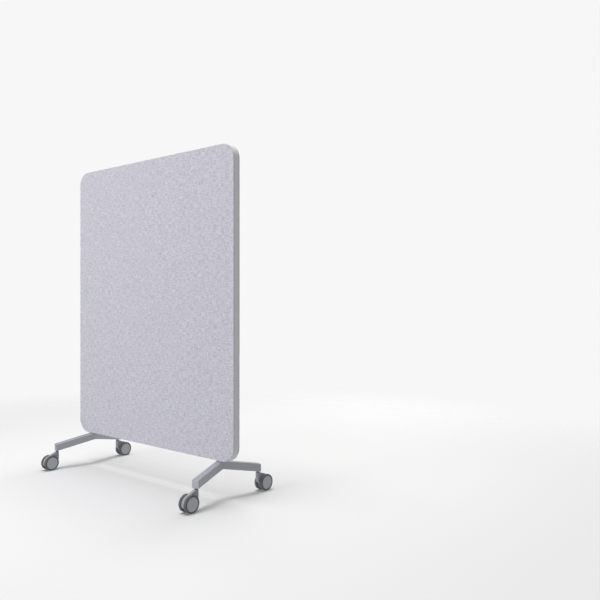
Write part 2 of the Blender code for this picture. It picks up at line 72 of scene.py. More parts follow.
def newFinish(name, sockets):
    # a material with its constants straight on the shader, and the piece's own coordinates to build on
    finish = bpy.data.materials.new(name)
    finish.use_nodes = True
    tree = finish.node_tree
    shader = tree.nodes["Principled BSDF"]
    for key, value in sockets.items():
        shader.inputs[key].default_value = value
    place = addNode(tree, "ShaderNodeTexCoord").outputs["Object"]
    return finish, tree, shader, place


def colourBetween(tree, shader, factor, stops):
    # leads a factor through a ramp of (position, hex) stops into the shader's colour
    ramp = addNode(tree, "ShaderNodeValToRGB", links={"Fac": factor})
    elements = ramp.color_ramp.elements
    while len(elements) < len(stops):
        elements.new(0.5)
    for element, (position, code) in zip(elements, stops):
        element.position = position
        element.color = linearColour(code)
    tree.links.new(ramp.outputs["Color"], shader.inputs["Base Color"])


def roughnessBetween(tree, shader, factor, low, high):
    # noise keeps mostly between 0.3 and 0.7
    spread = addNode(tree, "ShaderNodeMapRange", {"From Min": 0.3, "From Max": 0.7, "To Min": low,
                                                  "To Max": high}, {"Value": factor})
    tree.links.new(spread.outputs["Result"], shader.inputs["Roughness"])


def bumpFrom(tree, shader, height, strength, distance):
    bump = addNode(tree, "ShaderNodeBump", {"Strength": strength, "Distance": distance}, {"Height": height})
    tree.links.new(bump.outputs["Normal"], shader.inputs["Normal"])


def noiseOf(tree, place, size, detail=3.0, roughness=0.55):
    # noise whose patches are about this big in metres: one size, or one for each direction
    sizes = size if isinstance(size, tuple) else (size, size, size)
    mapped = addNode(tree, "ShaderNodeMapping", {"Scale": tuple(1 / s for s in sizes)}, {"Vector": place})
    noise = addNode(tree, "ShaderNodeTexNoise", {"Scale": 1.0, "Detail": detail, "Roughness": roughness},
                    {"Vector": mapped.outputs["Vector"]})
    return noise.outputs["Fac"]


# Woven wool melange: light and dark fibres are spun into each yarn, so the cloth is mottled, with short
# slubs that run up the warp and along the weft, and it takes the light softly
fabricLook = {
    "yarn": 0.0022,  # m between yarns, about twice the real cloth's so that the weave can show
    "slubWidth": 0.0046,
    "slubLength": 0.026,
    "mottle": 0.009,
    "cloud": 0.11,
    "light": "dddce6",
    "middle": "c6c5cf",
    "dark": "a6a5b0",
    "sheen": 0.15,
}


def fabricFinish():
    look = fabricLook
    finish, tree, shader, place = newFinish("wovenWoolMelange", {
        "Roughness": 0.92, "IOR": 1.5, "Specular IOR Level": 0.25, "Sheen Weight": look["sheen"],
        "Sheen Roughness": 0.45})
    width, length = look["slubWidth"], look["slubLength"]
    warp = noiseOf(tree, place, (width, width, length))
    weft = noiseOf(tree, place, (length, width, width))
    mottle = noiseOf(tree, place, look["mottle"], 4.0, 0.7)
    cloud = noiseOf(tree, place, look["cloud"], 2.0)
    # plain weave: sin(pi x / yarn) sin(pi z / yarn) is above zero where the warp lies on top
    axes = addNode(tree, "ShaderNodeSeparateXYZ", links={"Vector": place})
    waves = []
    for axis in ("X", "Z"):
        turns = addNode(tree, "ShaderNodeMath", {1: math.pi / look["yarn"]}, {0: axes.outputs[axis]},
                        operation="MULTIPLY")
        waves.append(addNode(tree, "ShaderNodeMath", links={0: turns.outputs[0]}, operation="SINE"))
    over = addNode(tree, "ShaderNodeMath", links={0: waves[0].outputs[0], 1: waves[1].outputs[0]},
                   operation="MULTIPLY")
    onTop = addNode(tree, "ShaderNodeMapRange", {"From Min": -0.25, "From Max": 0.25},
                    {"Value": over.outputs[0]})
    yarns = addNode(tree, "ShaderNodeMix", links={0: onTop.outputs["Result"], 2: weft, 3: warp},
                    data_type="FLOAT")
    mixed = addNode(tree, "ShaderNodeMix", {0: 0.25}, {2: yarns.outputs[0], 3: mottle}, data_type="FLOAT")
    clouded = addNode(tree, "ShaderNodeMix", {0: 0.03}, {2: mixed.outputs[0], 3: cloud}, data_type="FLOAT")
    colourBetween(tree, shader, clouded.outputs[0],
                  [(0.37, look["dark"]), (0.50, look["middle"]), (0.63, look["light"])])
    # each yarn stands up where it passes over the other, and slubs stand a little higher
    crown = addNode(tree, "ShaderNodeMath", links={0: over.outputs[0]}, operation="ABSOLUTE")
    height = addNode(tree, "ShaderNodeMath", {1: 0.5}, {0: crown.outputs[0], 2: mixed.outputs[0]},
                     operation="MULTIPLY_ADD")
    bumpFrom(tree, shader, height.outputs[0], 0.55, 0.0006)
    return finish


# Extruded ABS edging: even grey, a soft gloss, with a faint grain pressed in by the roller
def edgingFinish():
    finish, tree, shader, place = newFinish("extrudedAbsEdging", {
        "Roughness": 0.55, "IOR": 1.53, "Specular IOR Level": 0.35})
    grain = noiseOf(tree, place, (0.0030, 0.0015, 0.0030))
    colourBetween(tree, shader, grain, [(0.30, "d2d2d6"), (0.70, "dddde1")])
    roughnessBetween(tree, shader, grain, 0.50, 0.62)
    bumpFrom(tree, shader, grain, 0.15, 0.0002)
    return finish


# Enamelled writing steel: warm cream glass fused on the sheet, satin, with a very slow orange peel
def enamelFinish():
    finish, tree, shader, place = newFinish("creamVitreousEnamel", {
        "Roughness": 0.34, "IOR": 1.52, "Specular IOR Level": 0.45, "Coat Weight": 0.15,
        "Coat Roughness": 0.25})
    drift = noiseOf(tree, place, 0.45, 1.0)
    colourBetween(tree, shader, drift, [(0.30, "f0e9df"), (0.70, "f2ece3")])
    peel = noiseOf(tree, place, 0.006, 2.0)
    roughnessBetween(tree, shader, peel, 0.31, 0.38)
    bumpFrom(tree, shader, peel, 0.06, 0.0003)
    return finish


# Powder coat: silver grey baked on the steel tube, a low gloss with fine orange peel
def powderFinish():
    finish, tree, shader, place = newFinish("silverGreyPowderCoat", {
        "Metallic": 0.40, "Roughness": 0.45, "IOR": 1.5, "Specular IOR Level": 0.45})
    peel = noiseOf(tree, place, 0.0016, 2.0)
    colourBetween(tree, shader, peel, [(0.30, "aaadb4"), (0.70, "b5b8bf")])
    roughnessBetween(tree, shader, peel, 0.40, 0.52)
    bumpFrom(tree, shader, peel, 0.18, 0.0002)
    return finish


# Moulded plastics of the casters: each has two close shades, and a fine grain from its mould
def mouldedFinish(name, low, high, roughness, grainSize):
    finish, tree, shader, place = newFinish(name, {"Roughness": roughness, "IOR": 1.5,
                                                   "Specular IOR Level": 0.4})
    grain = noiseOf(tree, place, grainSize)
    colourBetween(tree, shader, grain, [(0.30, low), (0.70, high)])
    roughnessBetween(tree, shader, grain, roughness - 0.05, roughness + 0.07)
    bumpFrom(tree, shader, grain, 0.15, 0.0002)
    return finish


# Metals: zinc shows its crystals as faint patches, blackened steel stays dull
def metalFinish(name, low, high, roughness, crystal):
    finish, tree, shader, place = newFinish(name, {"Metallic": 1.0, "Roughness": roughness})
    cells = addNode(tree, "ShaderNodeTexVoronoi", {"Scale": 1 / crystal}, {"Vector": place})
    shade = addNode(tree, "ShaderNodeRGBToBW", links={"Color": cells.outputs["Color"]})
    colourBetween(tree, shader, shade.outputs["Val"], [(0.2, low), (0.8, high)])
    roughnessBetween(tree, shader, shade.outputs["Val"], roughness - 0.06, roughness + 0.06)
    return finish


# Planed spruce: straight growth rings along each rail, pale early wood and darker late wood
def spruceFinish(name, scale):
    finish, tree, shader, place = newFinish(name, {"Roughness": 0.7, "IOR": 1.5, "Specular IOR Level": 0.3})
    stretched = addNode(tree, "ShaderNodeMapping", {"Scale": scale}, {"Vector": place})
    rings = addNode(tree, "ShaderNodeTexWave", {"Scale": 60.0, "Distortion": 3.0, "Detail": 2.0},
                    {"Vector": stretched.outputs["Vector"]}, bands_direction="DIAGONAL")
    colourBetween(tree, shader, rings.outputs["Fac"], [(0.15, "e2c79c"), (0.75, "d6b686"), (1.0, "bb9462")])
    bumpFrom(tree, shader, rings.outputs["Fac"], 0.1, 0.0002)
    return finish


# Pressed wood fibre and needled felt: both are short tangled fibres, one brown and hard, one grey and soft
def fibreFinish(name, stops, size, roughness, strength):
    finish, tree, shader, place = newFinish(name, {"Roughness": roughness, "IOR": 1.5,
                                                   "Specular IOR Level": 0.2})
    fibres = noiseOf(tree, place, size, 5.0, 0.7)
    colourBetween(tree, shader, fibres, stops)
    bumpFrom(tree, shader, fibres, strength, 0.0004)
    return finish


finishes = {
    "fabric": fabricFinish(),
    "edging": edgingFinish(),
    "enamel": enamelFinish(),
    "powder": powderFinish(),
    "nylon": mouldedFinish("mouldedGreyNylon", "96989e", "a0a2a8", 0.45, 0.0012),
    "hub": mouldedFinish("mouldedPolypropylene", "b1b6ba", "babfc3", 0.50, 0.0014),
    "tyre": mouldedFinish("thermoplasticRubber", "54575b", "606367", 0.68, 0.0020),
    "zinc": metalFinish("brightZincPlate", "9fa3a8", "b7bbc0", 0.36, 0.0030),
    "black": metalFinish("blackenedSteel", "4a4c50", "5a5d62", 0.42, 0.0020),
    "spruceAlong": spruceFinish("planedSpruceAlong", (0.12, 1.0, 1.0)),
    "spruceUp": spruceFinish("planedSpruceUp", (1.0, 1.0, 0.12)),
    "fibreboard": fibreFinish("pressedFibreboard", [(0.3, "96794f"), (0.7, "b89c74")], 0.0025, 0.8, 0.2),
    "felt": fibreFinish("recycledFelt", [(0.3, "77797b"), (0.5, "909294"), (0.7, "b4b5b6")],
                        0.003, 0.95, 0.5),
}
print("finishes ready:", len(finishes))


# Surfaces


def surfaceMesh(name, rings, closed=False, filled=True):
    # rings[i, j] is point j of ring i: quads join neighbouring rings and neighbouring points, round and
    # round. A closed surface joins its last ring to its first; another has its end rings filled or left open.
    count, points = rings.shape[:2]
    ring, point = np.meshgrid(np.arange(count if closed else count - 1), np.arange(points), indexing="ij")
    after, beside = (ring + 1) % count, (point + 1) % points
    quads = np.stack([ring * points + point, ring * points + beside, after * points + beside,
                      after * points + point], -1).reshape(-1, 4).tolist()
    if filled and not closed:
        quads += [list(range(points)), list(range((count - 1) * points, count * points))]
    mesh = bpy.data.meshes.new(name)
    mesh.from_pydata(rings.reshape(-1, 3).tolist(), [], quads)
    return tidyMesh(mesh)


def tidyMesh(mesh, sharpDegrees=40):
    # merges doubles, turns every face outwards, and keeps only real corners sharp
    shape = bmesh.new()
    shape.from_mesh(mesh)
    bmesh.ops.remove_doubles(shape, verts=shape.verts, dist=2e-6)
    bmesh.ops.recalc_face_normals(shape, faces=shape.faces)
    shape.to_mesh(mesh)
    shape.free()
    mesh.shade_smooth()
    mesh.set_sharp_from_angle(angle=math.radians(sharpDegrees))
    return mesh


def addPiece(name, mesh, body, nodes, slot, *finishNames):
    piece = bpy.data.objects.new(name, mesh)
    bpy.context.scene.collection.objects.link(piece)
    mesh.materials.clear()
    for finishName in finishNames:
        mesh.materials.append(finishes[finishName])
    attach(piece, body)
    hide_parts(*nodes)
    return piece


def cutMesh(base, tools, operation):
    # the mesh that a Boolean of the base with each tool in turn leaves
    helpers = [bpy.data.objects.new("cutHelper", mesh) for mesh in (base, *tools)]
    for helper in helpers:
        bpy.context.scene.collection.objects.link(helper)
    for helper in helpers[1:]:
        cut = helpers[0].modifiers.new("cut", "BOOLEAN")
        cut.operation = operation
        cut.solver = "EXACT"
        cut.object = helper
    evaluated = helpers[0].evaluated_get(bpy.context.evaluated_depsgraph_get())
    mesh = bpy.data.meshes.new_from_object(evaluated)
    for helper in helpers:
        bpy.data.objects.remove(helper)
    return mesh


def outlineOf(box, radii, inset=0.0, steps=24, shares=tuple(np.linspace(0, 1, 15)[1:-1])):
    # a rounded rectangle in (x, z), anticlockwise from its lower left corner: each corner is
    # centre + radius (cos a, sin a) over a quarter turn, and the straight edges between them are divided at
    # these shares of their length
    left, right, low, high = box[0] + inset, box[1] - inset, box[2] + inset, box[3] - inset
    corners = ((left, low, 1, 1), (right, low, -1, 1), (right, high, -1, -1), (left, high, 1, -1))
    arcs = []
    for number, (x, z, inX, inZ) in enumerate(corners):
        radius = max(radii[number] - inset, 0.0)
        angles = math.pi * (1 + number / 2) + np.linspace(0, math.pi / 2, steps + 1)
        centre = np.array([x + inX * radius, z + inZ * radius])
        arcs.append(centre + radius * np.stack([np.cos(angles), np.sin(angles)], -1))
    share = np.array(shares)[:, None]
    parts = []
    for here, onward in zip(arcs, arcs[1:] + arcs[:1]):
        parts += [here, here[-1] + (onward[0] - here[-1]) * share]
    return np.concatenate(parts)


def upright(outline, y):
    # (x, z) points stood up at a depth y
    return np.stack([outline[:, 0], np.full(len(outline), y), outline[:, 1]], -1)


def slabMesh(name, box, radii, layer, edges, faceRings=8, arcSteps=5):
    # a slab with eased edges. Its section runs from the front's middle over the front edge, a quarter circle
    # (inset, depth) = (r - r sin a, r - r cos a), down the side and round the back edge the same way; inside
    # the edges the outline shrinks evenly to the middle
    front, back = layer
    frontEdge, backEdge = edges
    angles = np.linspace(0, math.pi / 2, arcSteps + 1)
    section = [(frontEdge + 0.001, front)]
    section += [(frontEdge * (1 - math.sin(a)), front + frontEdge * (1 - math.cos(a))) for a in angles]
    section += [(backEdge * (1 - math.cos(a)), back - backEdge * (1 - math.sin(a))) for a in angles]
    section += [(backEdge + 0.001, back)]
    rings = [upright(outlineOf(box, radii, inset), y) for inset, y in section]
    middle = np.array([(box[0] + box[1]) / 2, 0, (box[2] + box[3]) / 2])
    flat = np.array([1, 0, 1])
    shrink = np.linspace(0, 1, faceRings + 1)[:-1]
    before = [middle * flat + (rings[0] - middle) * flat * s + rings[0] * (1 - flat) for s in shrink]
    after = [middle * flat + (rings[-1] - middle) * flat * s + rings[-1] * (1 - flat) for s in shrink[::-1]]
    return surfaceMesh(name, np.stack(before + rings + after))


def turnedMesh(name, profile, steps=96, closed=False):
    # a profile of (radius, height) turned about Z: (r cos a, r sin a, h)
    points = np.array(profile, float)
    angles = 2 * math.pi * (np.arange(steps) + 0.5) / steps
    circle = np.stack([np.cos(angles), np.sin(angles), np.zeros(steps)], -1)
    rings = points[:, 0, None, None] * circle + points[:, 1, None, None] * np.array([0, 0, 1])
    return surfaceMesh(name, rings, closed)


def easedProfile(corners, ease, steps=3):
    # rounds the inner corners of a (radius, height) profile: each becomes the curve
    # (1-t)^2 a + 2 t (1-t) corner + t^2 b between points a and b one ease away from it
    points = [np.array(c, float) for c in corners]
    result = [points[0]]
    for before, corner, after in zip(points, points[1:], points[2:]):
        toBefore, toAfter = before - corner, after - corner
        a = corner + toBefore * min(ease / np.linalg.norm(toBefore), 0.45)
        b = corner + toAfter * min(ease / np.linalg.norm(toAfter), 0.45)
        for t in np.linspace(0, 1, steps + 1):
            result.append((1 - t) ** 2 * a + 2 * t * (1 - t) * corner + t ** 2 * b)
    return [tuple(p) for p in (*result, points[-1])]


def boxSpan(node):
    # a node's box as left, right, low, high, front, back
    low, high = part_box(node)
    return low.x, high.x, low.z, high.z, low.y, high.y


def middleOf(node):
    low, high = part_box(node)
    return (low + high) / 2


def shifted(mesh, x, y, z=0.0):
    mesh.transform(Matrix.Translation((x, y, z)))
    return mesh


# Panel
panelLook = {
    "cornerRadius": 0.070,
    "fabricEdge": 0.0022,  # the cloth is drawn tight over the board, so its front edge is only a little soft
    "hiddenEdge": 0.0005,
    "boardEdge": 0.0007,
    "boardCorner": 0.0012,
    "bandEdge": 0.0006,
    "bandThick": 0.0020,
    "boltHole": 0.0033,
    "boltCut": 0.003,  # depth of the cut for a bolt, through the band's thickness
    "turnUnder": 0.020,  # cloth turned over behind each edge
}


def buildPanel():
    look = panelLook
    radius, corner = look["cornerRadius"], look["boardCorner"]
    span = boxSpan("front_fabric_pad")
    mesh = slabMesh("frontCover", span[:4], (radius,) * 4, span[4:], (look["fabricEdge"], look["hiddenEdge"]))
    cover = addPiece("frontCover", mesh, "panel_and_feet", ["front_fabric_pad"], "melange_fabric", "fabric")

    span = boxSpan("rear_fabric_pad")
    mesh = slabMesh("rearCover", span[:4], (radius, radius, corner, corner), span[4:],
                    (look["hiddenEdge"], look["fabricEdge"]))
    cover = addPiece("rearCover", mesh, "panel_and_feet", ["rear_fabric_pad"], "melange_fabric", "fabric")

    # the writing board's edge is lipped in grey, apart from its lower edge above the cloth
    span = boxSpan("writing_board")
    mesh = slabMesh("writingSurface", span[:4], (corner, corner, radius, radius), span[4:],
                    (look["hiddenEdge"], look["boardEdge"]))
    addPiece("writingSurface", mesh, "panel_and_feet", ["writing_board"], "cream_board", "enamel", "edging")
    faces = len(mesh.polygons)
    normals, centres = np.empty(faces * 3), np.empty(faces * 3)
    mesh.polygons.foreach_get("normal", normals)
    mesh.polygons.foreach_get("center", centres)
    onSide = (np.abs(normals[1::3]) < 0.75) & (centres[2::3] > span[2] + 2 * corner)
    mesh.polygons.foreach_set("material_index", onSide.astype(np.int32))

    # the edge band: a thin rectangle with eased outer edges, (inset, depth), carried round the outline
    full = boxSpan("edge_band")
    front, back = full[4:]
    ease, thick = look["bandEdge"], look["bandThick"]
    section = easedProfile([(thick, (front + back) / 2), (thick, front), (0, front), (0, back), (thick, back),
                            (thick, (front + back) / 2)], ease)
    rings = np.stack([upright(outlineOf(full[:4], (radius,) * 4, inset), y) for inset, y in section[:-1]])
    band = surfaceMesh("edgeBand", rings, closed=True)
    bolts = [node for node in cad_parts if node.startswith("foot_bolt_")]
    holes = []
    for node in sorted(bolts):
        ends = (full[2] - pastCut, full[2] + look["boltCut"])
        hole = turnedMesh("hole", [(look["boltHole"], z) for z in ends], 32)
        holes.append(shifted(hole, *middleOf(node)[:2]))
    band = tidyMesh(cutMesh(band, holes, "DIFFERENCE"))
    addPiece("edgeBand", band, "panel_and_feet", ["edge_band"], "grey_edging", "edging")
    print("panel made")


buildPanel()


# Feet: two rectangular tubes mitred where they meet, with a saddle block under the panel and a bush at
# each end
footLook = {
    "reach": 0.193,  # from the panel's middle to the end of an arm
    "splay": 0.053,  # how far that end stands outboard of the meeting line
    "drop": 0.0397,
    "width": 0.034,
    "depth": 0.036,
    "wall": 0.0025,
    "edge": 0.003,
    "cap": 0.0022,
    "capEase": 0.0007,
    "capBackEase": 0.0003,
    "capRim": 0.002,
    "gap": 0.0003,
    "saddleReach": 0.014,
    "bushRadius": 0.0058,
    "bushHeadroom": 0.005,
    "bushEdge": 0.0004,
    "stemBore": 0.0043,
    "boltHole": 0.0033,
    "boltSeat": 0.0053,
    "seatRise": 0.0063,  # how far the bolt head's seat goes up into the foot
    "cutBelow": 0.003,  # below the ridge's underside, since the arms slope down past it
}


def buildFeet():
    look = footLook
    length = math.hypot(look["reach"], look["splay"])
    cos, sin = look["reach"] / length, look["splay"] / length
    slope, turn = look["drop"] / length, look["splay"] / look["reach"]
    half, wall, edge = look["width"] / 2, look["wall"], look["edge"]
    apexX = (middleOf("foot_bolt_right_1").x + middleOf("foot_bolt_right_2").x) / 2
    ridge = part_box("arm_cap_rear_right")[1].z + slope * (length - look["cap"])

    def armRing(side, end, along, inset=0.0, radius=edge):
        # an upright section: a rounded rectangle (u, z) whose middle is at the apex plus end * along the arm,
        # (sin s, end cos s); u runs square to the arm, but along the mitre's own plane at s = 0
        top = ridge - slope * along
        box = (-half + inset, half - inset, top - look["depth"] + inset, top - inset)
        u, z = outlineOf(box, (radius,) * 4, 0, 6, (0.03, 0.97)).T
        across = (cos, -end * sin, 0.0) if along else (1 / cos, 0.0, -slope * turn)
        points = np.stack([apexX + sin * along + across[0] * u, end * cos * along + across[1] * u,
                           z + across[2] * u], -1)
        return points * (side, 1, 1)

    tubeEnd = length - look["cap"] - look["gap"]
    shares = (1, 0.66, 0.33, 0.06, 0)  # the nearest to the mitre stands clear of it
    stations = [(-1, tubeEnd * s) for s in shares] + [(1, tubeEnd * s) for s in shares[-2::-1]]
    for side, word in ((-1, "left"), (1, "right")):
        outer = [armRing(side, end, along) for end, along in stations]
        inner = [armRing(side, end, along, wall, edge / 2) for end, along in stations[::-1]]
        tube = surfaceMesh("tube", np.stack(outer + inner), closed=True)
        stems = [middleOf(f"stem_{end}_{word}") for end in ("front", "rear")]
        low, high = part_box(f"foot_{word}")
        # the block's plan follows the two arms inside their side walls
        reach, blockHalf = look["saddleReach"], half - wall / 2
        plan = np.array([(reach * turn, -reach), (0, 0), (reach * turn, reach)])
        plan = np.concatenate([plan + (blockHalf, 0), plan[::-1] - (blockHalf, 0)])
        levels = np.array([ridge - look["depth"] + wall / 2, high.z])
        x, y = side * (apexX + plan[:, 0]), plan[:, 1]
        block = np.stack([np.stack([x, y, np.full(len(plan), z)], -1) for z in levels])
        parts = [surfaceMesh("block", block)]
        along = math.hypot(stems[0].y, abs(stems[0].x) - apexX)
        bushTop = ridge - slope * along - look["bushHeadroom"]
        bush = easedProfile([(0, low.z), (look["bushRadius"], low.z), (look["bushRadius"], bushTop),
                             (0, bushTop)], look["bushEdge"])
        parts += [shifted(turnedMesh("bush", bush, 48), stem.x, stem.y) for stem in stems]
        body = cutMesh(tube, parts, "UNION")
        bore, seat = look["stemBore"], ridge - look["depth"] + look["seatRise"]
        under = ridge - look["depth"] - look["cutBelow"]
        stemLine = [(bore, low.z - pastCut), (bore, bushTop - wall)]
        holes = [shifted(turnedMesh("hole", stemLine, 48), stem.x, stem.y) for stem in stems]
        for number in (1, 2):
            bolt = middleOf(f"foot_bolt_{word}_{number}")
            for radius, top in ((look["boltHole"], high.z + pastCut), (look["boltSeat"], seat)):
                hole = turnedMesh("hole", [(radius, under), (radius, top)], 40)
                holes.append(shifted(hole, bolt.x, bolt.y))
        body = tidyMesh(cutMesh(body, holes, "DIFFERENCE"), 24)
        addPiece(f"footFrame.{word}", body, "panel_and_feet", [f"foot_{word}"], "silver_paint", "powder")

        # each cap is a plate on the tube's end, its outer edge eased in a quarter circle
        ease, backEase, back = look["capEase"], look["capBackEase"], length - look["cap"]
        angles = np.linspace(0, math.pi / 2, 5)
        section = [(look["capRim"], back), (backEase, back), (0, back + backEase)]
        section += [(ease * (1 - math.cos(a)), length - ease * (1 - math.sin(a))) for a in angles]
        section += [(ease + 0.001, length)]
        for end, endWord in ((-1, "front"), (1, "rear")):
            rings = [armRing(side, end, along, inset, max(edge - inset, 0.0004)) for inset, along in section]
            cap = surfaceMesh("armCap", np.stack(rings))
            addPiece(f"armCap.{endWord}.{word}", cap, "panel_and_feet", [f"arm_cap_{endWord}_{word}"],
                     "silver_paint", "powder")
    print("feet made")


buildFeet()


# Casters: stem, housing with its hood, and two wheels, worked out once about the stem with the wheels towards
# +Y, then set under each arm; the front ones are turned round
casterLook = {
    "trail": 0.0405,  # of the axle behind the stem
    "stemRadius": 0.004,
    "collarRadius": 0.007,
    "collarHeight": 0.002,
    "stemEdge": 0.0004,
    "stemBelow": 0.036,
    "wheelSpace": 0.018,
    "tyreWidth": 0.0145,
    "tyreShoulder": 0.0022,
    "tyreInnerEdge": 0.0010,
    "tyreDome": 0.0002,
    "hubRadius": 0.030,
    "hubRecess": 0.0004,
    "hubCrown": 0.0006,
    "hubFace": 0.003,  # thickness left between the axle's end and the hub's face
    "bossRadius": 0.009,
    "axleHole": 0.0043,
    "housingWidth": 0.0168,
    "housingEdge": 0.0016,
    "neckFront": 0.009,
    "neckBack": 0.0055,
    "heelRise": 0.003,  # from the neck's heel up to the stem's bore
    "sideRound": 0.004,
    "belly": 0.0125,
    "hoodRecess": 0.0025,
    "hoodEnd": -18.0,  # degrees below level where the hood stops
    "gap": 0.0003,
}


def cornerRounded(points, radius, steps=4):
    # rounds every corner of a closed (y, z) outline: the curve (1-t)^2 a + 2 t (1-t) corner + t^2 b, whose
    # ends stand one radius from the corner, or less where the sides are short
    before, after = np.roll(points, 1, 0) - points, np.roll(points, -1, 0) - points
    lengths = [np.linalg.norm(side, axis=1, keepdims=True) for side in (before, after)]
    a, b = (points + side * np.minimum(radius / span, 0.4) for side, span in zip((before, after), lengths))
    t = np.linspace(0, 1, steps + 1)[None, :, None]
    curve = (1 - t) ** 2 * a[:, None] + 2 * t * (1 - t) * points[:, None] + t ** 2 * b[:, None]
    return curve.reshape(-1, 2)


def insetOutline(points, inset):
    # moves a closed outline inwards by its two neighbours' normals, (dy, dz) turned a quarter to the left
    ahead = np.roll(points, -1, 0) - points
    ahead = ahead / np.linalg.norm(ahead, axis=1, keepdims=True)
    left = np.stack([-ahead[:, 1], ahead[:, 0]], -1)
    normal = left + np.roll(left, 1, 0)
    normal = normal / np.maximum((normal ** 2).sum(1, keepdims=True) / 2, 0.6)
    return points + normal * inset


def housingMesh(radius, housingTop):
    look = casterLook
    hood = radius - look["hoodRecess"]
    centre = np.array([look["trail"], radius])
    brow = np.array([look["neckFront"], housingTop])
    toBrow = brow - centre
    # the ridge touches the hood where its radius is square to the line from the brow
    touch = math.atan2(toBrow[1], toBrow[0]) - math.acos(hood / np.linalg.norm(toBrow))
    angles = np.linspace(math.radians(look["hoodEnd"]), touch, 40)[:, None]
    arc = centre + hood * np.concatenate([np.cos(angles), np.sin(angles)], 1)
    belly, boreLow = radius - look["belly"], housingTop - look["stemBelow"] - look["gap"]
    corners = np.array([(-look["neckBack"], housingTop), (-look["neckBack"], boreLow - look["heelRise"]),
                        (look["trail"] - hood / 2, belly), (arc[0, 0] - look["hoodRecess"], belly)])
    rounded = cornerRounded(np.concatenate([corners, arc[:1], arc[-1:], brow[None]]), look["sideRound"])
    rounded = rounded.reshape(7, -1, 2)
    # the arc replaces the straight chord between its two ends
    line = np.concatenate([*rounded[:4], arc, rounded[6]])
    half, ease = look["housingWidth"] / 2, look["housingEdge"]
    turns = np.linspace(0, math.pi / 2, 6)
    section = [(ease + 0.0006, half)]
    section += [(ease * (1 - math.sin(a)), half - ease * (1 - math.cos(a))) for a in turns]
    section += [(inset, -x) for inset, x in section[::-1]]
    rings = [insetOutline(line, inset) for inset, x in section]
    rings = np.stack([np.insert(ring, 0, x, 1) for ring, (inset, x) in zip(rings, section)])
    web = surfaceMesh("housing", rings)
    bore = look["stemRadius"] + look["gap"]
    stemHole = turnedMesh("hole", [(bore, boreLow), (bore, housingTop + pastCut)], 48)
    axleHole = turnedMesh("hole", [(look["axleHole"], -0.02), (look["axleHole"], 0.02)], 48)
    axleHole.transform(Matrix.Rotation(math.pi / 2, 4, "Y"))
    return tidyMesh(cutMesh(web, [stemHole, shifted(axleHole, 0, look["trail"], radius)], "DIFFERENCE"), 32)


def tyreProfile(radius):
    # (radius, distance from the caster's middle), with quarter circles at both shoulders and a slightly
    # domed tread between them
    look = casterLook
    near, far = look["wheelSpace"] / 2, look["wheelSpace"] / 2 + look["tyreWidth"]
    inner, outerEase, innerEase = look["hubRadius"] + look["gap"], look["tyreShoulder"], look["tyreInnerEdge"]
    turns = [(math.sin(a), 1 - math.cos(a)) for a in np.linspace(0, math.pi / 2, 7)]
    back = [(math.cos(a), 1 - math.sin(a)) for a in np.linspace(0, math.pi / 2, 7)]
    dome = look["tyreDome"]
    profile = [(inner, near), (radius - dome - innerEase - 0.001, near)]
    profile += [(radius - dome - innerEase * (1 - up), near + innerEase * along) for up, along in turns]
    spread = np.linspace(-1, 1, 7)[1:-1]
    middle, reach = (near + innerEase + far - outerEase) / 2, (far - outerEase - near - innerEase) / 2
    profile += [(radius - dome * s * s, middle + reach * s) for s in spread]
    profile += [(radius - dome - outerEase * (1 - up), far - outerEase * along) for up, along in back]
    profile += [(inner + 0.0012, far), (inner + 0.0004, far - 0.0001), (inner, far - 0.0005)]
    return profile


def hubProfile():
    # a boss over the axle, then the disc: an eased rim, a fine groove inside it, a low crowned face,
    # and a shallow ring round the middle
    look = casterLook
    far = look["wheelSpace"] / 2 + look["tyreWidth"]
    near, rim, outer = look["housingWidth"] / 2 + look["gap"], far - look["hubRecess"], look["hubRadius"]
    holeEnd, boss, hole = rim - look["hubFace"], look["bossRadius"], look["axleHole"]
    back = look["wheelSpace"] / 2 + look["gap"]
    profile = [(0, holeEnd), (hole, holeEnd), (hole, near), (boss, near), (boss, back), (outer, back),
               (outer, rim - 0.0005), (outer - 0.00015, rim - 0.00015), (outer - 0.0005, rim)]
    # the face's height over the rim is crown (1 - (r / outer)^2), less the depth of the grooves
    rimGroove = [outer - 0.0022, outer - 0.0026, outer - 0.0032, outer - 0.0036]
    middleRing = [0.0098, 0.0094, 0.0088, 0.0084, 0.005, 0.002]
    radii = np.concatenate([rimGroove, np.linspace(outer - 0.006, 0.0108, 6), middleRing])
    grooves = np.array([0, 0.0005, 0.0005, 0] + [0] * 6 + [0, 0.0004, 0.0004, 0, 0, 0])
    heights = rim + look["hubCrown"] * (1 - (radii / outer) ** 2) - grooves
    return profile + list(zip(radii, heights)) + [(0, rim + look["hubCrown"])]


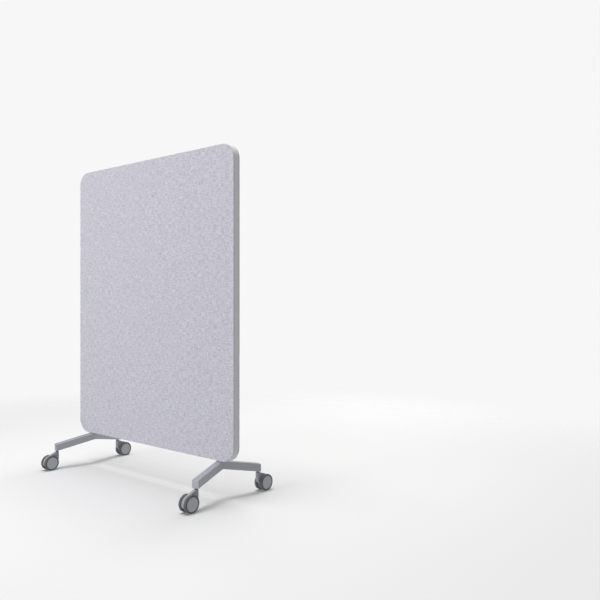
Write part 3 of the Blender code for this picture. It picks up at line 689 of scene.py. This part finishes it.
def buildCasters():
    look = casterLook
    tyreLow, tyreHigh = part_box("tyre_rear_right_r")
    radius = (tyreHigh.z - tyreLow.z) / 2
    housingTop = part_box("housing_rear_right")[1].z
    stemLow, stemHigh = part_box("stem_rear_right")
    collar = housingTop + look["gap"]
    thin, wide, collarTop = look["stemRadius"], look["collarRadius"], collar + look["collarHeight"]
    stemLine = easedProfile([(0, stemLow.z), (thin, stemLow.z), (thin, collar), (wide, collar),
                             (wide, collarTop), (thin, collarTop), (thin, stemHigh.z), (0, stemHigh.z)],
                            look["stemEdge"])
    shapes = {
        "stem": turnedMesh("stem", stemLine, 64),
        "housing": housingMesh(radius, housingTop),
        "hub": turnedMesh("hub", hubProfile(), 96),
        "tyre": turnedMesh("tyre", tyreProfile(radius), 120, closed=True),
    }
    axle = Matrix.Translation((0, look["trail"], radius))

    def setDown(shape, label, body, slot, finish, place):
        mesh = shapes[shape].copy()
        mesh.transform(place)
        addPiece(label, mesh, body, [label.replace("Part", "")], slot, finish)

    for side in ("left", "right"):
        for end in ("front", "rear"):
            name = f"{end}_{side}"
            stem = middleOf(f"stem_{name}")
            turned = Matrix.Rotation(math.pi * (end == "front"), 4, "Z")
            place = Matrix.Translation((stem.x, stem.y, 0)) @ turned
            setDown("stem", f"stemPart_{name}", "panel_and_feet", "dark_steel", "black", place)
            setDown("housing", f"housingPart_{name}", f"caster_{name}", "housing_grey", "nylon", place)
            for hand in ("l", "r"):
                # hands are told from the front of the object, so they change over on a caster turned round
                outward = (1 if hand == "r" else -1) * (1 if end == "rear" else -1)
                onAxle = place @ axle @ Matrix.Rotation(outward * math.pi / 2, 4, "Y")
                body = f"wheel_{name}_{hand}"
                setDown("hub", f"hubPart_{name}_{hand}", body, "hub_grey", "hub", onAxle)
                setDown("tyre", f"tyrePart_{name}_{hand}", body, "tyre_grey", "tyre", onAxle)
    print("casters made")


buildCasters()


# CAD nodes that stay as they are, each with the finish of the real thing
keptFinishes = {
    "front_board": "fibreboard", "rear_board": "fibreboard", "bottom_rail": "spruceAlong",
    "top_rail": "spruceAlong", "mid_rail": "spruceAlong", "left_stile": "spruceUp", "right_stile": "spruceUp",
    "absorber_lower": "felt", "absorber_upper": "felt", "board_backing": "zinc", "mount_plate": "zinc",
    "mount_screw": "zinc", "foot_bolt": "zinc", "axle": "zinc",
}
for node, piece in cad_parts.items():
    if piece.hide_render:
        continue
    known = [key for key in keptFinishes if node.startswith(key)]
    if not known:
        raise SystemExit(f"no finish is chosen for {node}")
    for slot in piece.material_slots:
        slot.link = "OBJECT"
        slot.material = finishes[keptFinishes[known[0]]]
print("kept nodes finished")


# Studio: a pale floor that fades out into an even backdrop, a dim surround and soft light from above
studioLook = {
    "floor": "dddddd",
    "backdrop": 0.93,  # linear brightness
    "floorRadius": 6.0,
    "domeRadius": 18.0,
    "fadeFrom": 1.5,
    "fadeTo": 3.6,
    "surroundAbove": 0.45,
    "surroundBelow": 0.70,  # stands in for the light that a floor throws back up
    "surroundSides": 0.17,  # how much dimmer it is straight along X than along Y
}


def buildStudio():
    look = studioLook
    # a floor disc of points r (cos a, sin a, 0), and a globe round it of points
    # R (cos u cos a, cos u sin a, sin u), u from straight down to straight up
    steps = 96
    around = 2 * math.pi * np.arange(steps) / steps
    circle = np.stack([np.cos(around), np.sin(around), np.zeros(steps)], -1)
    reaches = np.array([0, 0.5, 1, 2, 3, 4.5, 6]) / 6 * look["floorRadius"]
    floor = surfaceMesh("studioFloor", reaches[:, None, None] * circle[None], filled=False)
    floor = bpy.data.objects.new("studioFloor", floor)
    rise = np.linspace(-math.pi / 2, math.pi / 2, 25)[:, None, None]
    globe = np.cos(rise) * circle[None] + np.sin(rise) * np.array([0, 0, 1])
    dome = surfaceMesh("backdropDome", look["domeRadius"] * globe, filled=False)
    dome.flip_normals()
    dome = bpy.data.objects.new("backdropDome", dome)
    for obj in (floor, dome):
        bpy.context.scene.collection.objects.link(obj)
    for ray in ("diffuse", "glossy", "transmission", "volume_scatter", "shadow"):
        setattr(dome, f"visible_{ray}", False)
    # the surround lights the object from below too, evenly, so the floor only shows and takes shadows
    floor.visible_diffuse = floor.visible_glossy = False

    finish, tree, shader, place = newFinish("paleStudioFloor", {"Roughness": 0.8, "Specular IOR Level": 0.2,
                                                               "Base Color": linearColour(look["floor"])})
    reach = addNode(tree, "ShaderNodeVectorMath", links={0: place}, operation="LENGTH")
    fade = addNode(tree, "ShaderNodeMapRange", {"From Min": look["fadeFrom"], "From Max": look["fadeTo"]},
                   {"Value": reach.outputs["Value"]}, interpolation_type="SMOOTHSTEP")
    clear = addNode(tree, "ShaderNodeBsdfTransparent")
    mixed = addNode(tree, "ShaderNodeMixShader", links={0: fade.outputs["Result"], 1: shader.outputs[0],
                                                        2: clear.outputs[0]})
    tree.links.new(mixed.outputs[0], tree.nodes["Material Output"].inputs["Surface"])
    floor.data.materials.append(finish)

    finish = bpy.data.materials.new("evenBackdrop")
    finish.use_nodes = True
    tree = finish.node_tree
    level = look["backdrop"]
    glow = addNode(tree, "ShaderNodeEmission", {"Color": (level, level, level, 1.0), "Strength": 1.0})
    tree.links.new(glow.outputs[0], tree.nodes["Material Output"].inputs["Surface"])
    dome.data.materials.append(finish)

    # the surround's level is the one above or below the horizon, less surroundSides x^2, where x is how far
    # the direction points along X
    world = bpy.data.worlds.new("softSurround")
    world.use_nodes = True
    bpy.context.scene.world = world
    tree = world.node_tree
    direction = addNode(tree, "ShaderNodeTexCoord")
    axes = addNode(tree, "ShaderNodeSeparateXYZ", links={"Vector": direction.outputs["Generated"]})
    levels = {"From Min": -0.05, "From Max": 0.02, "To Min": look["surroundBelow"],
              "To Max": look["surroundAbove"]}
    both = addNode(tree, "ShaderNodeMapRange", levels, {"Value": axes.outputs["Z"]})
    square = addNode(tree, "ShaderNodeMath", {1: 2.0}, {0: axes.outputs["X"]}, operation="POWER")
    level = addNode(tree, "ShaderNodeMath", {1: -look["surroundSides"]},
                    {0: square.outputs[0], 2: both.outputs["Result"]}, operation="MULTIPLY_ADD")
    tree.links.new(level.outputs[0], tree.nodes["Background"].inputs["Strength"])
    tree.nodes["Background"].inputs["Color"].default_value = (1.0, 1.0, 1.0, 1.0)
    print("studio made")


buildStudio()


# Soft boxes: name, place, point aimed at, side in metres, watts
softBoxes = (
    ("frontTopBox", (-0.4, -1.0, 6.0), (0, -0.2, 0), 2.4, 150),
    ("backTopBox", (-0.4, 1.0, 6.0), (0, 0.2, 0), 2.4, 150),
    ("frontFill", (-0.9, -4.6, 1.3), (0, 0, 0.7), 2.4, 88),
    ("backFill", (-0.9, 4.6, 1.3), (0, 0, 0.7), 2.4, 62),
)
for name, place, target, size, power in softBoxes:
    light = bpy.data.lights.new(name, "AREA")
    light.shape, light.size, light.energy = "SQUARE", size, power
    box = bpy.data.objects.new(name, light)
    box.location = place
    box.rotation_euler = (Vector(target) - Vector(place)).to_track_quat("-Z", "Y").to_euler()
    bpy.context.scene.collection.objects.link(box)

# Camera, level, to the right of the panel and in front of its cloth face
cameraLook = {"place": (2.7205, -2.0758, 0.882), "turn": 40.28, "lens": 40.74, "sensor": 36.0}
camera = bpy.data.cameras.new("camera")
camera.lens, camera.sensor_width = cameraLook["lens"], cameraLook["sensor"]
view = bpy.data.objects.new("camera", camera)
view.location = cameraLook["place"]
view.rotation_euler = (math.radians(90), 0, math.radians(cameraLook["turn"]))
bpy.context.scene.collection.objects.link(view)
bpy.context.scene.camera = view
bpy.context.scene.view_settings.view_transform = "Standard"
print("lights and camera set")
